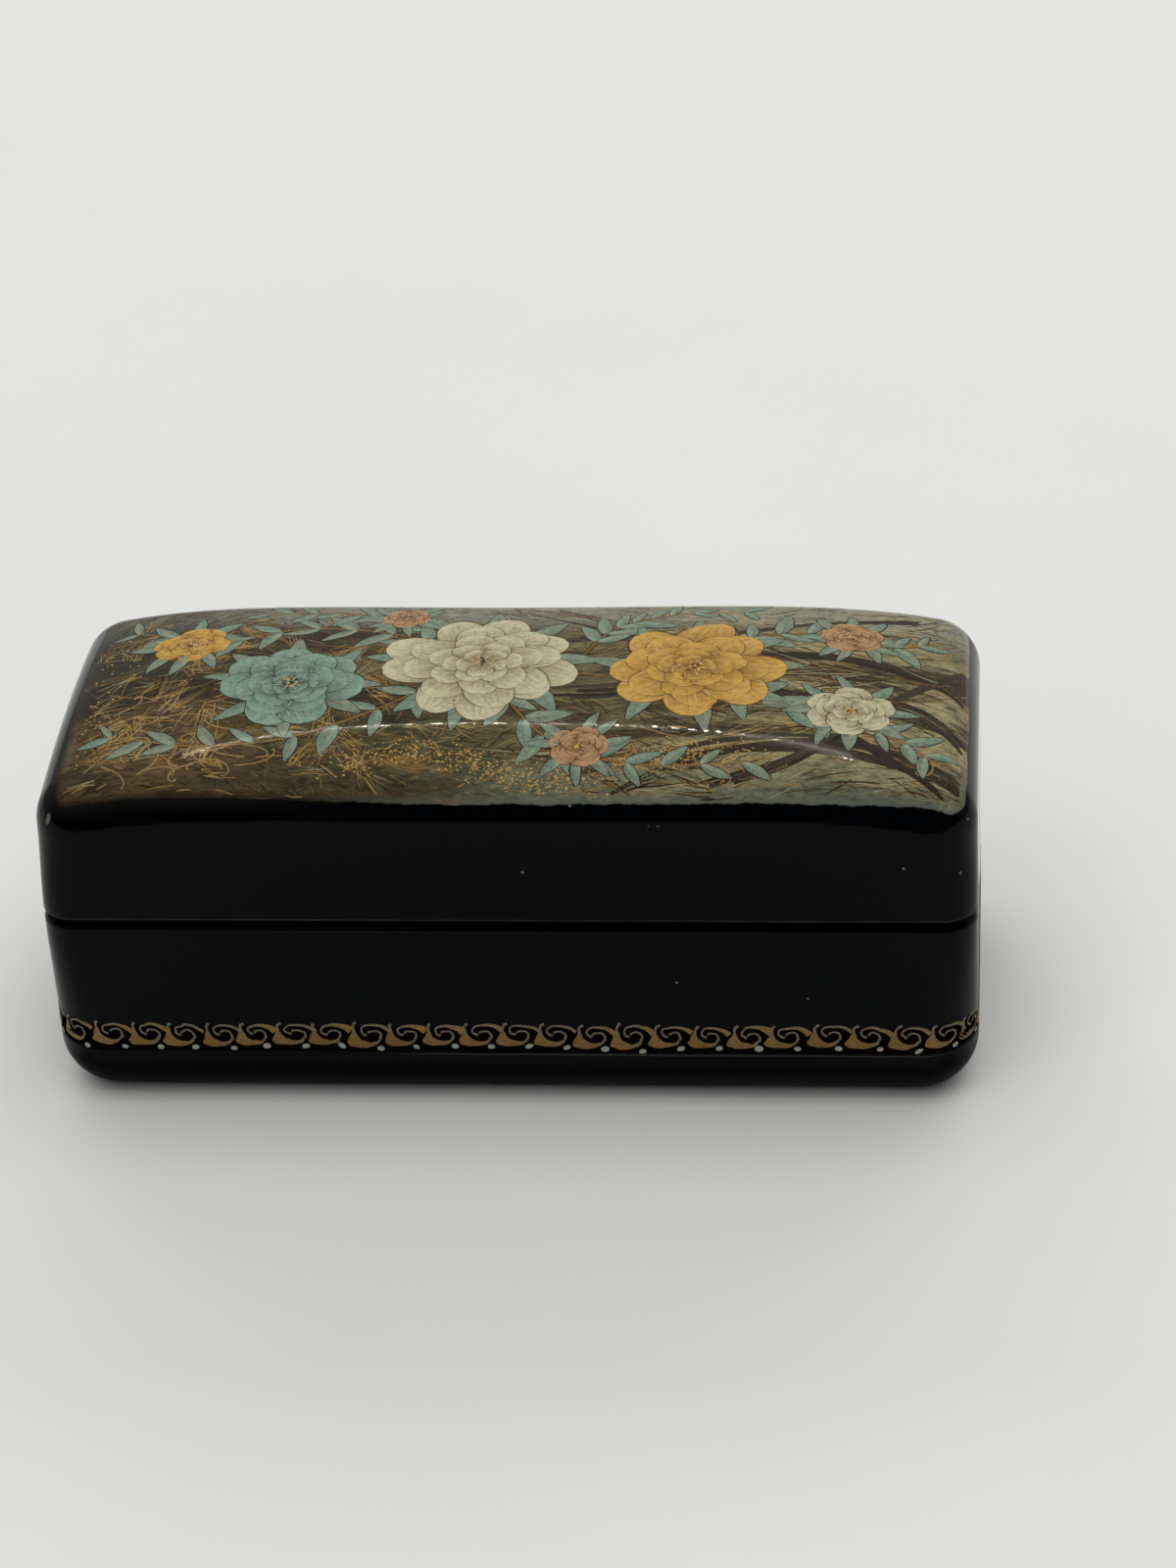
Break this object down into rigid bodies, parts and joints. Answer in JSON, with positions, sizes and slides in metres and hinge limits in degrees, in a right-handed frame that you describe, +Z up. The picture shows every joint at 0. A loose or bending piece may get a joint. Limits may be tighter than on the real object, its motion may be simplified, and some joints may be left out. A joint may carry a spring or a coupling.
{
  "type": "trinket box",
  "caption": "Small oblong lacquered box with a pillow-shaped painted lid, hinged along the back, for rings, pins and other keepsakes.",
  "frame": {"origin": "middle of the box's footprint on the table", "axes": "+Z up, +X along the box's length, hinge towards +Y, so the front is at -Y"},
  "size_m": [0.0692, 0.03, 0.029],
  "materials": {
    "black_lacquer": "polished black lacquer over papier-mache, gold border painted round the foot of the base",
    "red_lacquer": "smooth vermilion lacquer of the inside",
    "gold_paint": "aged gold powder paint under clear lacquer",
    "pale_paint": "pale dots of body colour",
    "painted_panel": null,
    "hinge_brass": "plain drawn brass, slightly dulled"
  },
  "bodies": {
    "base": {"base_wall": "black_lacquer", "base_floor": "black_lacquer", "base_collar": "red_lacquer", "hinge_base_leaf": "hinge_brass", "hinge_pin": "hinge_brass"},
    "lid": {"lid_wall": "black_lacquer", "lid_board": "black_lacquer", "hinge_lid_leaf": "hinge_brass"}
  },
  "joints": [
    {"name": "lid_hinge", "type": "hinge", "parent": "base", "child": "lid", "pos_m": [0, 0.01395, 0.0161], "axis": [-1, 0, 0], "range_deg": [0, 100]}
  ]
}
